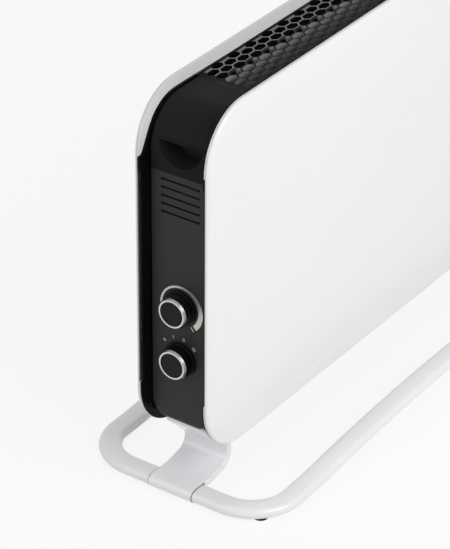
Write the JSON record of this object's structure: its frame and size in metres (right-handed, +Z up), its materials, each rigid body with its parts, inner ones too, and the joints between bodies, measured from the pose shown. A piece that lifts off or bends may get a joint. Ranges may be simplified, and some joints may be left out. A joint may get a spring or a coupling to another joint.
{
  "type": "convector heater",
  "caption": "Free-standing electric convector heater: white steel shells round a black core with a honeycomb outlet, end controls and a tube ring base.",
  "frame": {"origin": "on the floor, under the middle of the base ring", "axes": "+X along the casing away from the control end, +Y to the rear, +Z up"},
  "size_m": [0.67, 0.234, 0.43],
  "materials": {
    "white_enamel": "glossy white stove enamel on pressed steel and tube",
    "black_moulding": "black moulded plastic with a slight sheen",
    "grille_black": "black heat-resistant honeycomb moulding",
    "panel_grey": "dark grey fine-textured moulding",
    "galvanised_steel": "galvanised sheet steel",
    "shield_black": "thin steel sheet with a black heat-proof coat",
    "fin_aluminium": "extruded aluminium",
    "rod_steel": "plain steel",
    "bush_ceramic": "unglazed steatite",
    "control_plastic": "dark thermoset moulding",
    "control_brass": "plain brass",
    "knob_black": "black moulded plastic",
    "silver_trim": "satin silver trim",
    "knob_face": "matt dark grey",
    "wire_sleeve": "glass-fibre sleeved wire",
    "gland_plastic": "black nylon",
    "pad_rubber": "soft black rubber",
    "screw_steel": "zinc-plated steel"
  },
  "bodies": {
    "heater": {"front_panel": "white_enamel", "rear_panel": "white_enamel", "front_rail": "white_enamel", "rear_rail": "white_enamel", "left_bracket": "white_enamel", "right_bracket": "white_enamel", "left_corner_handle": "black_moulding", "right_corner_handle": "black_moulding", "left_end_frame": "black_moulding", "right_end_frame": "black_moulding", "top_grille": "grille_black", "left_end_cap": "panel_grey", "right_end_cap": "panel_grey", "left_end_plate": "galvanised_steel", "right_end_plate": "galvanised_steel", "inlet_tray": "galvanised_steel", "left_partition": "galvanised_steel", "right_partition": "galvanised_steel", "front_heat_shield": "shield_black", "rear_heat_shield": "shield_black", "lower_element_fins": "fin_aluminium", "upper_element_fins": "fin_aluminium", "lower_element_rod": "rod_steel", "upper_element_rod": "rod_steel", "element_bushes": "bush_ceramic", "thermostat_body": "control_plastic", "selector_body": "control_plastic", "thermal_cutout": "control_plastic", "terminal_block": "control_plastic", "thermostat_nut": "control_brass", "selector_nut": "control_brass", "thermostat_scale": "silver_trim", "wiring": "wire_sleeve", "cable_gland": "gland_plastic", "gland_nut": "gland_plastic", "foot_pads": "pad_rubber", "bracket_screws": "screw_steel", "rail_screws": "screw_steel", "rear_panel_screws": "screw_steel", "front_panel_nuts": "screw_steel", "end_cap_screws": "screw_steel", "handle_screws": "screw_steel"},
    "thermostat_dial": {"thermostat_knob": "knob_black", "thermostat_knob_ring": "silver_trim", "thermostat_knob_disc": "knob_face", "thermostat_shaft": "rod_steel"},
    "selector_dial": {"selector_knob": "knob_black", "selector_knob_ring": "silver_trim", "selector_knob_disc": "knob_face", "selector_shaft": "rod_steel"}
  },
  "joints": [
    {"name": "thermostat_turn", "type": "hinge", "parent": "heater", "child": "thermostat_dial", "pos_m": [-0.315, 0, 0.2099], "axis": [1, 0, 0], "range_deg": [0, 264]},
    {"name": "selector_turn", "type": "hinge", "parent": "heater", "child": "selector_dial", "pos_m": [-0.315, 0, 0.1518], "axis": [1, 0, 0], "range_deg": [0, 95]}
  ]
}
